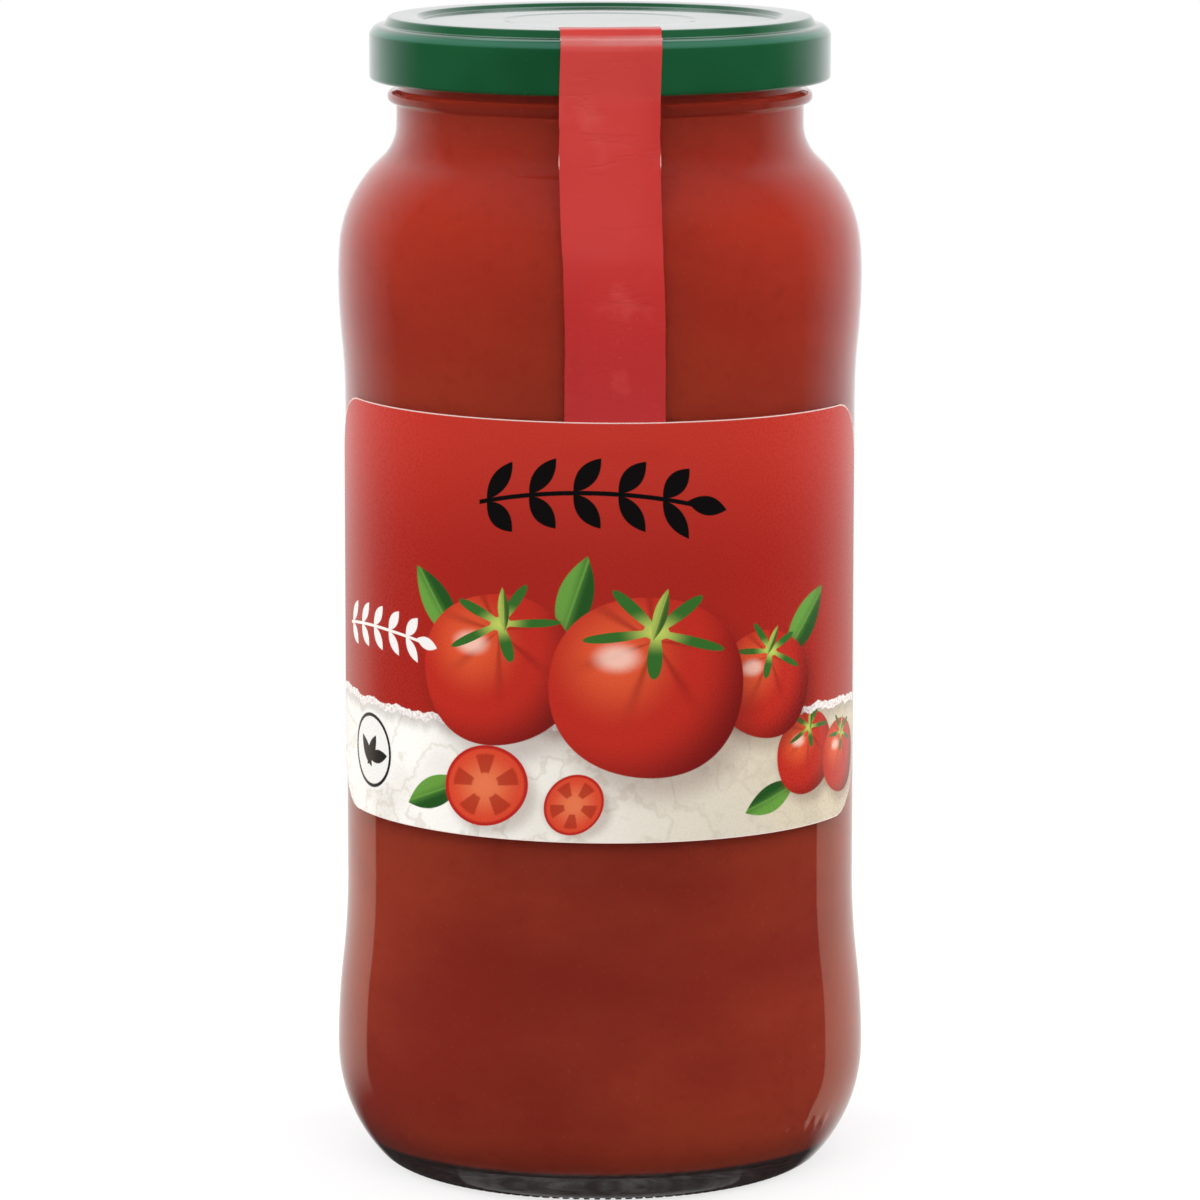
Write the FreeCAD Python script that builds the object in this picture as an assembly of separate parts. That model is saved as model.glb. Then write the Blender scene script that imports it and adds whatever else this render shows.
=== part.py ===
"""A shut glass jar of fried tomato sauce.

The jar stands on its bearing ring at z = 0, with its axis on Z and its front facing -Y.
Lengths are in millimetres and angles in degrees. A point of a section is (radius, height).
Each sub-part is written to parts/NODE.step.
"""
import FreeCAD, Part

import math
import os

# Glass jar, outside
JAR_HEIGHT = 165.9            # up to the lip, under the lid
PANEL_R = 36.7                # straight side that takes the label
LOWER_SWELL = 1.5             # how far the widest ring stands out from the panel
LOWER_SWELL_Z = 16.5
LOWER_EASE_HEIGHT = 25.5      # from that ring up to the panel
UPPER_SWELL = 0.9
UPPER_EASE_HEIGHT = 18.0      # from the panel up to the upper swell
SWELL_ARC_R = 50.5            # gentle arc on top of the upper swell
SWELL_ARC_HEIGHT = 4.5
SHOULDER_HEIGHT = 24.5        # from the upper swell up to the bead
NECK_LAND = 3.0               # straight neck under the bead
NECK_FILLET_R = 6.7
FOOT_INSET = 9.0              # from the widest ring in to the bearing ring
FOOT_ARC_R = 4.4              # round from the bearing ring to the heel
FOOT_WIDTH = 2.4              # flat of the bearing ring
PUSH_UP_BEVEL = 2.2           # slope inside the bearing ring
PUSH_UP_EDGE_Z = 1.2
PUSH_UP_CENTRE_Z = 3.4        # domed underside

# Glass jar, inside
WALL = 2.1
FLOOR_CENTRE_Z = 8.0
FLOOR_DOME_R = 190.0
INNER_HEEL_R = 7.0

# Mouth of the jar
FINISH_R = 29.6               # wall that carries the threads
NECK_STEP = 0.45              # the neck is this much inside that wall
BEAD_STEP = 0.8               # and the bead this much outside it
FINISH_HEIGHT = 12.0          # from the lip down to the foot of the bead
BEAD_HEIGHT = 4.0
BEAD_SLOPE = 0.5
MOUTH_ROUND_R = 0.6
LIP_ROUND_R = 1.0
THREAD_COUNT = 4
THREAD_DEPTH = 1.5
THREAD_HEIGHT = 1.7
THREAD_DROP = 4.6             # from the lip down to the middle of a thread
THREAD_SPAN = 56.0
THREAD_SLOPE = 4.0

# Sauce
HEADSPACE = 6.9               # from the lip down to the sauce
SAUCE_CLEARANCE = 0.04

# Lid
LID_HEIGHT = 9.0
LID_THICKNESS = 0.25
LID_SEAT_CLEARANCE = 0.1      # between the lip and the lid's ring
SKIRT_CLEARANCE = 1.65        # between the threads and the skirt
LID_SHOULDER_R = 1.1
RING_HEIGHT = 1.1             # raised ring over the lip
RING_INSIDE = 0.8             # how far it reaches in past the lip
RING_OUTSIDE = 0.6            # and out past the mouth's wall
RING_SLOPE = 0.7
RING_ROUND_R = 0.5
BUTTON_R = 14.1               # safety button in the middle
BUTTON_DEPTH = 0.35
BUTTON_STEP = 0.9
CURL_R = 0.6                  # rolled edge of the skirt
CURL_TURN = 250.0
LUG_SPAN = 16.0               # lugs that hold under the threads
LUG_REACH = 1.5
LUG_HEIGHT = 0.8

# Paper strip that seals the lid, and paper label
PAPER_GAP = 0.04
STRIP_WIDTH = 14.0
STRIP_THICKNESS = 0.12
STRIP_AZIMUTH = 3.3           # from the front towards +X
STRIP_ON_LID = 10.0           # length on the lid's middle panel
STRIP_TUCK = 4.0              # length under the label
STRIP_BEND_R = 1.0            # bend at the lid's lower edge
LABEL_WIDTH = 104.0
LABEL_HEIGHT = 59.4
LABEL_THICKNESS = 0.15
LABEL_ABOVE_PANEL = 1.1       # its upper edge over the top of the straight side
LABEL_AZIMUTH = -1.5
LABEL_SKEW = 0.65
LABEL_CORNER_R = 9.0

UP = FreeCAD.Vector(0, 0, 1)
ORIGIN = FreeCAD.Vector(0, 0, 0)
FRONT = -90.0                 # azimuth of -Y
BEYOND = 20.0                 # how far a cutting solid reaches past what it cuts

# Sizes that follow from those above
bead_bottom_z = JAR_HEIGHT - FINISH_HEIGHT
upper_swell_z = bead_bottom_z - SHOULDER_HEIGHT
panel_top_z = upper_swell_z - UPPER_EASE_HEIGHT
panel_bottom_z = LOWER_SWELL_Z + LOWER_EASE_HEIGHT
lower_swell_r = PANEL_R + LOWER_SWELL
upper_swell_r = PANEL_R + UPPER_SWELL
foot_outer_r = lower_swell_r - FOOT_INSET
foot_inner_r = foot_outer_r - FOOT_WIDTH
neck_r = FINISH_R - NECK_STEP
bore_r = neck_r - WALL
thread_r = FINISH_R + THREAD_DEPTH
lid_r = thread_r + SKIRT_CLEARANCE + LID_THICKNESS
lid_top_z = JAR_HEIGHT + LID_SEAT_CLEARANCE + LID_THICKNESS
lid_bottom_z = lid_top_z - LID_HEIGHT
lid_panel_z = lid_top_z - RING_HEIGHT
ring_inner_r = bore_r - RING_INSIDE
ring_outer_r = FINISH_R + RING_OUTSIDE
label_r = PANEL_R + PAPER_GAP + STRIP_THICKNESS + PAPER_GAP
label_top_z = panel_top_z + LABEL_ABOVE_PANEL


def point(radius, height):
    return FreeCAD.Vector(radius, 0, height)


def on_circle(centre, radius, angle):
    turn = math.radians(angle)
    return (centre[0] + radius * math.cos(turn), centre[1] + radius * math.sin(turn))


def line(start, end):
    return Part.makeLine(point(*start), point(*end))


def arc(centre, radius, start_angle, end_angle):
    angles = (start_angle, (start_angle + end_angle) / 2, end_angle)
    ends = [point(*on_circle(centre, radius, angle)) for angle in angles]
    return Part.Arc(*ends).toShape()


def turned(edges, start_azimuth=0.0, span=360.0):
    """Solid of revolution from the closed section that the edges make."""
    face = Part.Face(Part.Wire(Part.__sortEdges__(edges)))
    face.rotate(ORIGIN, UP, start_azimuth)
    return face.revolve(ORIGIN, UP, span)


def rounded_path(corners):
    """Edges of a path through (radius, height, rounding) corners, from end to end."""
    edges = []
    start = point(*corners[0][:2])
    for before, corner, after in zip(corners, corners[1:], corners[2:]):
        tip = point(*corner[:2])
        back = (point(*before[:2]) - tip).normalize()
        on = (point(*after[:2]) - tip).normalize()
        half = back.getAngle(on) / 2
        reach = corner[2] / math.tan(half)
        depth = corner[2] / math.sin(half) - corner[2]
        arc_start = tip + back * reach
        arc_end = tip + on * reach
        edges.append(Part.makeLine(start, arc_start))
        edges.append(Part.Arc(arc_start, tip + (back + on).normalize() * depth, arc_end).toShape())
        start = arc_end
    edges.append(Part.makeLine(start, point(*corners[-1][:2])))
    return edges


def beside(corners, distance):
    """The corners of a parallel path, to the left of the first one."""
    runs = []
    for start, end in zip(corners, corners[1:]):
        runs.append((point(*end[:2]) - point(*start[:2])).normalize())
    moved = []
    for index, corner in enumerate(corners):
        run_in = runs[max(index - 1, 0)]
        run_out = runs[min(index, len(runs) - 1)]
        left_in = FreeCAD.Vector(-run_in.z, 0, run_in.x)
        left_out = FreeCAD.Vector(-run_out.z, 0, run_out.x)
        shift = (left_in + left_out) * (distance / (1 + left_in.dot(left_out)))
        turns_right = run_in.x * run_out.z - run_in.z * run_out.x < 0
        rounding = corner[2] + (distance if turns_right else -distance)
        moved.append((corner[0] + shift.x, corner[1] + shift.z, rounding))
    return moved


def ease_curve(low, high, offset):
    """Two equal arcs between two radii, upright at both ends, moved inwards by offset."""
    rise = high[1] - low[1]
    step = high[0] - low[0]
    radius = (rise ** 2 + step ** 2) / (4 * abs(step))
    sweep = math.degrees(math.asin(rise / 2 / radius))
    if step > 0:
        lower = arc((low[0] + radius, low[1]), radius + offset, 180, 180 - sweep)
        upper = arc((high[0] - radius, high[1]), radius - offset, -sweep, 0)
    else:
        lower = arc((low[0] - radius, low[1]), radius - offset, 0, sweep)
        upper = arc((high[0] + radius, high[1]), radius + offset, 180 + sweep, 180)
    return [lower, upper]


def heel():
    """Centre, radius and lower end angle of the arc from the widest ring to the foot arc."""
    rise = LOWER_SWELL_Z - FOOT_ARC_R
    radius = (FOOT_INSET ** 2 + rise ** 2 - FOOT_ARC_R ** 2) / (2 * (FOOT_INSET - FOOT_ARC_R))
    centre = (lower_swell_r - radius, LOWER_SWELL_Z)
    end_angle = -math.degrees(math.atan2(rise, foot_outer_r - centre[0]))
    return centre, radius, end_angle


def shoulder():
    """Centres, radii and meeting angles of the swell, shoulder and neck arcs."""
    swell_centre = (upper_swell_r - SWELL_ARC_R, upper_swell_z)
    swell_angle = math.degrees(math.asin(SWELL_ARC_HEIGHT / SWELL_ARC_R))
    joint = on_circle(swell_centre, SWELL_ARC_R, swell_angle)
    outward = on_circle((0, 0), 1, swell_angle)
    neck_centre = (neck_r + NECK_FILLET_R, bead_bottom_z - NECK_LAND)
    to_neck = (neck_centre[0] - joint[0], neck_centre[1] - joint[1])
    along = to_neck[0] * outward[0] + to_neck[1] * outward[1]
    square = to_neck[0] ** 2 + to_neck[1] ** 2
    radius = (square - NECK_FILLET_R ** 2) / (2 * (NECK_FILLET_R - along))
    centre = on_circle(joint, -radius, swell_angle)
    neck_angle = math.degrees(math.atan2(neck_centre[1] - centre[1], neck_centre[0] - centre[0]))
    return swell_centre, swell_angle, centre, radius, neck_centre, neck_angle


def upper_side(offset, shoulder_end_angle):
    """The side from the top of the panel up over the swell, moved inwards by offset."""
    swell_centre, swell_angle, centre, radius, _, _ = shoulder()
    edges = ease_curve((PANEL_R, panel_top_z), (upper_swell_r, upper_swell_z), offset)
    edges.append(arc(swell_centre, SWELL_ARC_R - offset, 0, swell_angle))
    edges.append(arc(centre, radius - offset, swell_angle, shoulder_end_angle))
    return edges


def side(offset):
    """The whole side from the widest ring up to the neck, moved inwards by offset."""
    _, _, _, _, neck_centre, neck_angle = shoulder()
    radius = PANEL_R - offset
    edges = ease_curve((lower_swell_r, LOWER_SWELL_Z), (PANEL_R, panel_bottom_z), offset)
    edges.append(line((radius, panel_bottom_z), (radius, panel_top_z)))
    edges += upper_side(offset, neck_angle)
    edges.append(arc(neck_centre, NECK_FILLET_R + offset, 180 + neck_angle, 180))
    return edges


def cavity(offset, floor_lift):
    """The inside from the axis over the floor and up the side to the neck."""
    heel_centre, heel_radius, _ = heel()
    dome_centre = (0, FLOOR_CENTRE_Z + floor_lift - FLOOR_DOME_R)
    corner_r = INNER_HEEL_R - floor_lift
    wall_r = heel_radius - offset
    # The corner's centre is this far from the centres of the floor's and the heel's arcs.
    from_dome = FLOOR_DOME_R + corner_r
    from_heel = wall_r - corner_r
    across = heel_centre[0] - dome_centre[0]
    up = heel_centre[1] - dome_centre[1]
    apart = math.hypot(across, up)
    along = (apart ** 2 + from_dome ** 2 - from_heel ** 2) / (2 * apart)
    aside = math.sqrt(from_dome ** 2 - along ** 2)
    corner = (
        dome_centre[0] + (across * along + up * aside) / apart,
        dome_centre[1] + (up * along - across * aside) / apart,
    )
    dome_angle = math.degrees(math.atan2(corner[1] - dome_centre[1], corner[0]))
    wall_angle = math.degrees(math.atan2(corner[1] - heel_centre[1], corner[0] - heel_centre[0]))
    edges = [arc(dome_centre, FLOOR_DOME_R, 90, dome_angle)]
    edges.append(arc(corner, corner_r, dome_angle - 180, wall_angle))
    edges.append(arc(heel_centre, wall_r, wall_angle, 0))
    return edges + side(offset)


def thread(index):
    """One sloping ridge on the wall of the mouth."""
    root = FINISH_R - WALL / 2
    crest = THREAD_HEIGHT / 4
    foot = THREAD_HEIGHT / 2 + (THREAD_HEIGHT / 2 - crest) * (FINISH_R - root) / THREAD_DEPTH
    middle = JAR_HEIGHT - THREAD_DROP
    section = [
        line((root, middle - foot), (thread_r, middle - crest)),
        line((thread_r, middle - crest), (thread_r, middle + crest)),
        line((thread_r, middle + crest), (root, middle + foot)),
        line((root, middle + foot), (root, middle - foot)),
    ]
    ridge = turned(section, -THREAD_SPAN / 2, THREAD_SPAN)
    ridge.rotate(FreeCAD.Vector(0, 0, middle), FreeCAD.Vector(1, 0, 0), THREAD_SLOPE)
    ridge.rotate(ORIGIN, UP, 360.0 / THREAD_COUNT * (index + 0.5))
    return ridge


def make_jar():
    heel_centre, heel_radius, heel_end = heel()
    neck_centre = shoulder()[4]
    push_up_r = foot_inner_r - PUSH_UP_BEVEL
    drop = PUSH_UP_CENTRE_Z - PUSH_UP_EDGE_Z
    dome_r = (push_up_r ** 2 + drop ** 2) / (2 * drop)
    dome_end = math.degrees(math.acos(push_up_r / dome_r))
    edges = [arc((0, PUSH_UP_CENTRE_Z - dome_r), dome_r, 90, dome_end)]
    edges.append(line((push_up_r, PUSH_UP_EDGE_Z), (foot_inner_r, 0)))
    edges.append(line((foot_inner_r, 0), (foot_outer_r, 0)))
    edges.append(arc((foot_outer_r, FOOT_ARC_R), FOOT_ARC_R, -90, heel_end))
    edges.append(arc(heel_centre, heel_radius, heel_end, 0))
    edges += side(0)
    edges += rounded_path([
        (neck_r, neck_centre[1]),
        (neck_r, bead_bottom_z, MOUTH_ROUND_R),
        (FINISH_R + BEAD_STEP, bead_bottom_z + BEAD_SLOPE, MOUTH_ROUND_R),
        (FINISH_R + BEAD_STEP, bead_bottom_z + BEAD_HEIGHT, MOUTH_ROUND_R),
        (FINISH_R, bead_bottom_z + BEAD_HEIGHT + BEAD_SLOPE, MOUTH_ROUND_R),
        (FINISH_R, JAR_HEIGHT, LIP_ROUND_R),
        (bore_r, JAR_HEIGHT, LIP_ROUND_R),
        (bore_r, neck_centre[1]),
    ])
    edges += cavity(WALL, 0)
    edges.append(line((0, FLOOR_CENTRE_Z), (0, PUSH_UP_CENTRE_Z)))
    return turned(edges).fuse([thread(index) for index in range(THREAD_COUNT)])


def make_sauce():
    neck_centre = shoulder()[4]
    level = JAR_HEIGHT - HEADSPACE
    radius = bore_r - SAUCE_CLEARANCE
    edges = cavity(WALL + SAUCE_CLEARANCE, SAUCE_CLEARANCE)
    edges.append(line((radius, neck_centre[1]), (radius, level)))
    edges.append(line((radius, level), (0, level)))
    edges.append(line((0, level), (0, FLOOR_CENTRE_Z + SAUCE_CLEARANCE)))
    return turned(edges)


def lid_corners():
    """Outer face of the lid from its middle to the top of the curl."""
    button_z = lid_panel_z - BUTTON_DEPTH
    return [
        (0, button_z, 0),
        (BUTTON_R - BUTTON_STEP, button_z, RING_ROUND_R),
        (BUTTON_R, lid_panel_z, RING_ROUND_R),
        (ring_inner_r - RING_SLOPE, lid_panel_z, RING_ROUND_R),
        (ring_inner_r, lid_top_z, RING_ROUND_R),
        (ring_outer_r, lid_top_z, RING_ROUND_R),
        (ring_outer_r + RING_SLOPE, lid_panel_z, RING_ROUND_R),
        (lid_r, lid_panel_z, LID_SHOULDER_R),
        (lid_r, lid_bottom_z + CURL_R, 0),
    ]


def lug(index):
    outer = lid_r - CURL_R
    inner = outer - LUG_REACH
    low = lid_bottom_z + CURL_R / 2
    section = [
        line((inner, low), (outer, low)),
        line((outer, low), (outer, low + LUG_HEIGHT)),
        line((outer, low + LUG_HEIGHT), (inner, low + LUG_HEIGHT)),
        line((inner, low + LUG_HEIGHT), (inner, low)),
    ]
    return turned(section, 360.0 / THREAD_COUNT * index, LUG_SPAN)


def make_lid():
    curl_centre = (lid_r - CURL_R, lid_bottom_z + CURL_R)
    curl_inner_r = CURL_R - LID_THICKNESS
    outer = lid_corners()
    inner = beside(outer, -LID_THICKNESS)
    edges = rounded_path(outer)
    edges.append(arc(curl_centre, CURL_R, 0, -CURL_TURN))
    tip = [on_circle(curl_centre, radius, -CURL_TURN) for radius in (CURL_R, curl_inner_r)]
    edges.append(line(*tip))
    edges.append(arc(curl_centre, curl_inner_r, -CURL_TURN, 0))
    edges += rounded_path(inner)
    edges.append(line(inner[0][:2], outer[0][:2]))
    return turned(edges).fuse([lug(index) for index in range(THREAD_COUNT)])


def strip_face(offset):
    """One face of the seal strip, from the lid's middle panel down to its end on the jar."""
    _, swell_angle, centre, radius, _, _ = shoulder()
    on_lid = [(ring_inner_r - RING_SLOPE - STRIP_ON_LID, lid_panel_z, 0)]
    on_lid += lid_corners()[3:8]
    on_lid.append((lid_r, lid_bottom_z, STRIP_BEND_R))
    # From the lid's lower edge the paper runs straight to where it meets the shoulder.
    edge = (lid_r - centre[0], lid_bottom_z - centre[1])
    bearing = math.degrees(math.atan2(edge[1], edge[0]))
    landing = bearing - math.degrees(math.acos(radius / math.hypot(*edge)))
    on_lid.append(on_circle(centre, radius, landing) + (0,))
    end_z = label_top_z - STRIP_TUCK
    edges = rounded_path(beside(on_lid, offset))
    edges += upper_side(-offset, landing)
    edges.append(line((PANEL_R + offset, panel_top_z), (PANEL_R + offset, end_z)))
    start = (on_lid[0][0], lid_panel_z + offset)
    return edges, start, (PANEL_R + offset, end_z)


def make_strip():
    under, under_start, under_end = strip_face(PAPER_GAP)
    over, over_start, over_end = strip_face(PAPER_GAP + STRIP_THICKNESS)
    ends = [line(under_start, over_start), line(under_end, over_end)]
    start_r = under_start[0]
    reach = math.degrees(math.atan2(STRIP_WIDTH, start_r))
    azimuth = FRONT + STRIP_AZIMUTH
    wide = turned(under + over + ends, azimuth - reach, 2 * reach)
    # The slab begins just past the turned end, so that the strip is cut straight across.
    corner = FreeCAD.Vector(start_r + STRIP_THICKNESS, -STRIP_WIDTH / 2, 0)
    slab = Part.makeBox(lid_r + BEYOND, STRIP_WIDTH, lid_top_z + BEYOND, corner)
    slab.rotate(ORIGIN, UP, azimuth)
    return wide.common(slab)


def label_corner(side, upper):
    """What rounding takes off one corner of the label; side is 1 towards +X and -1 towards -X."""
    reach = label_r + LABEL_THICKNESS + BEYOND
    inset = math.degrees(math.asin(LABEL_CORNER_R / label_r))
    azimuth = FRONT + LABEL_AZIMUTH + side * (label_span() / 2 - inset)
    lift = label_r * math.cos(math.radians(azimuth)) * math.tan(math.radians(LABEL_SKEW))
    height = label_top_z - LABEL_CORNER_R + lift
    if not upper:
        height -= LABEL_HEIGHT - 2 * LABEL_CORNER_R
    outward = FreeCAD.Vector(1, 0, 0)
    rounding = Part.makeCylinder(LABEL_CORNER_R, reach, ORIGIN, outward)
    size = LABEL_CORNER_R + BEYOND
    block = Part.makeBox(reach, size, size)
    if side < 0:
        block.translate(FreeCAD.Vector(0, -size, 0))
    if not upper:
        block.translate(FreeCAD.Vector(0, 0, -size))
    rest = block.cut(rounding)
    rest.rotate(ORIGIN, UP, azimuth)
    rest.translate(UP * height)
    return rest


def label_span():
    return math.degrees(LABEL_WIDTH / (label_r + LABEL_THICKNESS))


def make_label():
    outer_r = label_r + LABEL_THICKNESS
    low = label_top_z - LABEL_HEIGHT
    section = [
        line((label_r, low - BEYOND), (outer_r, low - BEYOND)),
        line((outer_r, low - BEYOND), (outer_r, label_top_z + BEYOND)),
        line((outer_r, label_top_z + BEYOND), (label_r, label_top_z + BEYOND)),
        line((label_r, label_top_z + BEYOND), (label_r, low - BEYOND)),
    ]
    sheet = turned(section, FRONT + LABEL_AZIMUTH - label_span() / 2, label_span())
    reach = outer_r + BEYOND
    band = Part.makeBox(2 * reach, 2 * reach, LABEL_HEIGHT, FreeCAD.Vector(-reach, -reach, low))
    band.rotate(FreeCAD.Vector(0, 0, low), FreeCAD.Vector(0, -1, 0), LABEL_SKEW)
    sheet = sheet.common(band)
    corners = [label_corner(side, upper) for side in (-1, 1) for upper in (False, True)]
    return sheet.cut(corners)


NODES = {
    "glass_jar": make_jar,
    "sauce": make_sauce,
    "lid": make_lid,
    "label": make_label,
    "seal_strip": make_strip,
}

os.makedirs("parts", exist_ok=True)
for name, make in NODES.items():
    solids = make().Solids
    if len(solids) != 1:
        raise ValueError(name + " is not one solid")
    solid = solids[0]
    solid.exportStep("parts/" + name + ".step")
    box = solid.BoundBox
    print(
        name, "volume ml", round(solid.Volume / 1000, 3), "valid", solid.isValid(),
        "faces", len(solid.Faces), "z", round(box.ZMin, 2), round(box.ZMax, 2),
    )
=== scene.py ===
"""A shut glass jar of fried tomato sauce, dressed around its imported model.

Lengths in the section values are in millimetres, and a point of a section is (radius, height).
The front of the jar faces -Y.
"""
import math

import bmesh
import bpy
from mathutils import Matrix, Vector


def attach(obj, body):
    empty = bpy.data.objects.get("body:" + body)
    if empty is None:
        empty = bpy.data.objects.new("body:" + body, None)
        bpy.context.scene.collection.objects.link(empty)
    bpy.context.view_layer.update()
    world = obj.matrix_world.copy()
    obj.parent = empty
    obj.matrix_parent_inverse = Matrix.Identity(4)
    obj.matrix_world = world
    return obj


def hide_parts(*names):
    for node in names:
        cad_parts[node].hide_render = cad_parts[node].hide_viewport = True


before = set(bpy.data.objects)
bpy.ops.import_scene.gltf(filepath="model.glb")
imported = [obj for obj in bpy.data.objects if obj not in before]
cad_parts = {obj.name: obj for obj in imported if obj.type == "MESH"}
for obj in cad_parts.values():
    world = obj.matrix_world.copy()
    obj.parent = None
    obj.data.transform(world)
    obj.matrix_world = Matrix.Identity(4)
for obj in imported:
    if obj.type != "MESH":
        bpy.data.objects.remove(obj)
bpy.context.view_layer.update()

MM = 0.001
FRONT = -90.0
MERGE = 2e-6

# Glass jar
JAR_HEIGHT = 165.9
PANEL_R = 36.7
LOWER_SWELL = 1.5
LOWER_SWELL_Z = 16.5
LOWER_EASE_HEIGHT = 25.5
UPPER_SWELL = 0.9
UPPER_EASE_HEIGHT = 18.0
SWELL_ARC_R = 50.5
SWELL_ARC_HEIGHT = 4.5
SHOULDER_HEIGHT = 24.5
NECK_LAND = 3.0
NECK_FILLET_R = 6.7
FOOT_INSET = 9.0
FOOT_ARC_R = 4.4
FOOT_WIDTH = 2.4
PUSH_UP_BEVEL = 2.2
PUSH_UP_EDGE_Z = 1.2
PUSH_UP_CENTRE_Z = 3.4
WALL = 2.1
FLOOR_CENTRE_Z = 6.8
FLOOR_DOME_R = 190.0
INNER_HEEL_R = 7.0
FINISH_R = 29.6
NECK_STEP = 0.45
BEAD_STEP = 0.8
FINISH_HEIGHT = 12.0
FLANGE_HEIGHT = 1.7
FLANGE_ROUND_R = 0.75
FLANGE_SLOPE = 0.25
GROOVE_DEPTH = 0.7
GROOVE_HEIGHT = 1.5
MOUTH_ROUND_R = 0.6
LIP_ROUND_R = 1.0
THREAD_COUNT = 4
THREAD_DEPTH = 1.5
THREAD_HEIGHT = 1.7
THREAD_DROP = 4.6
THREAD_SPAN = 56.0
THREAD_SLOPE = 4.0
THREAD_ROUND_R = 0.3
JAR_STEPS = 256                 # faces round the jar
RIB_TOP_Z = 0.7
RIB_MARGIN = 0.12
RIB_DEPTH = 0.3
DOT_BAND_Z = (8.2, 9.7)
DOT_BAND_R = 32.0
DOT_MARGIN = 0.4
DOT_HEIGHT = 0.09
DOT_ROWS = ((FRONT - 50, 2), (FRONT + 27, 5), (FRONT + 52, 3))     # where a row starts, dots in it

# Sauce, lid and paper
HEADSPACE = 6.9
SAUCE_REACH = 0.06            # how far the sauce goes into the wall, so that no air shows
LID_HEIGHT = 9.0
LID_THICKNESS = 0.25
LID_SEAT_CLEARANCE = 0.1
SKIRT_CLEARANCE = 1.65
LID_SHOULDER_R = 1.7
LID_SHOULDER_DROP = 0.3
PANEL_RISE = 0.5
RING_HEIGHT = 1.1
RING_INSIDE = 0.8
RING_OUTSIDE = 0.6
RING_SLOPE = 0.7
RING_ROUND_R = 0.5
BUTTON_R = 14.1
BUTTON_DEPTH = 0.12
BUTTON_STEP = 0.9
CURL_R = 0.6
CURL_TURN = 250.0
LUG_SPAN = 16.0
LUG_REACH = 1.5
LUG_BAND_IN = (0.75, 1.3)       # the part of the curl that is pulled in: from the rim inwards
LUG_BAND_UP = (0.15, 1.15)      # and up from its lowest edge
LUG_FLATNESS = 0.4
PAPER_GAP = 0.05
STRIP_WIDTH = 14.0
STRIP_THICKNESS = 0.12
STRIP_BORDER = 0.05
STRIP_AZIMUTH = 3.3
STRIP_ON_LID = 7.0
STRIP_TUCK = 4.0
STRIP_BEND_R = 8.0
STRIP_HALF_SPAN = 32.0
STRIP_BOW = 0.6
STRIP_BOW_Z = (147.0, 151.0)
STRIP_BOW_REACH = 26.0
RIPPLE_HEIGHT = 0.16
RIPPLE_LENGTH = 7.0
LABEL_WIDTH = 104.0
LABEL_HEIGHT = 59.4
LABEL_THICKNESS = 0.15
LABEL_ABOVE_PANEL = 1.1
LABEL_AZIMUTH = -1.5
LABEL_TILT = 0.52
LABEL_CORNER_R = 9.0
LABEL_CORNER_CUTS = 9
LABEL_GRID = (130, 74)
LABEL_RISE = 0.16               # over the end of the strip
LABEL_RISE_HALF_WIDTH = 6.6
LABEL_RISE_REACH = 2.6

bead_bottom_z = JAR_HEIGHT - FINISH_HEIGHT
flange_top_z = bead_bottom_z + FLANGE_HEIGHT
upper_swell_z = bead_bottom_z - SHOULDER_HEIGHT
panel_top_z = upper_swell_z - UPPER_EASE_HEIGHT
panel_bottom_z = LOWER_SWELL_Z + LOWER_EASE_HEIGHT
lower_swell_r = PANEL_R + LOWER_SWELL
upper_swell_r = PANEL_R + UPPER_SWELL
foot_outer_r = lower_swell_r - FOOT_INSET
foot_inner_r = foot_outer_r - FOOT_WIDTH
neck_r = FINISH_R - NECK_STEP
bore_r = neck_r - WALL
thread_r = FINISH_R + THREAD_DEPTH
lid_r = thread_r + SKIRT_CLEARANCE + LID_THICKNESS
lid_top_z = JAR_HEIGHT + LID_SEAT_CLEARANCE + LID_THICKNESS
lid_bottom_z = lid_top_z - LID_HEIGHT
lid_panel_z = lid_top_z - RING_HEIGHT
inner_panel_z = lid_panel_z + PANEL_RISE
ring_inner_r = bore_r - RING_INSIDE
ring_outer_r = FINISH_R + RING_OUTSIDE
label_top_z = panel_top_z + LABEL_ABOVE_PANEL
label_middle_z = label_top_z - LABEL_HEIGHT / 2


# --- Sections: each run is (start, end, centre or None, degrees turned) ---

def on_circle(centre, radius, degrees):
    turn = math.radians(degrees)
    return (centre[0] + radius * math.cos(turn), centre[1] + radius * math.sin(turn))


def straight(start, end):
    return (start, end, None, 0.0)


def bow(centre, radius, first, last):
    return (on_circle(centre, radius, first), on_circle(centre, radius, last), centre, last - first)


def backwards(runs):
    return [(end, start, centre, -turn) for start, end, centre, turn in reversed(runs)]


def rounded(corners):
    """Runs through (radius, height, rounding) corners, from end to end."""
    runs = []
    here = Vector(corners[0][:2])
    for before, corner, after in zip(corners, corners[1:], corners[2:]):
        tip = Vector(corner[:2])
        back = (Vector(before[:2]) - tip).normalized()
        on = (Vector(after[:2]) - tip).normalized()
        half = back.angle(on) / 2
        reach = corner[2] / math.tan(half)
        centre = tip + (back + on).normalized() * (corner[2] / math.sin(half))
        side = 1 if back.x * on.y - back.y * on.x < 0 else -1
        arc_start = tip + back * reach
        arc_end = tip + on * reach
        runs.append(straight(tuple(here), tuple(arc_start)))
        turn = side * (180 - 2 * math.degrees(half))
        runs.append((tuple(arc_start), tuple(arc_end), tuple(centre), turn))
        here = arc_end
    runs.append(straight(tuple(here), tuple(corners[-1][:2])))
    return runs


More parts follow.
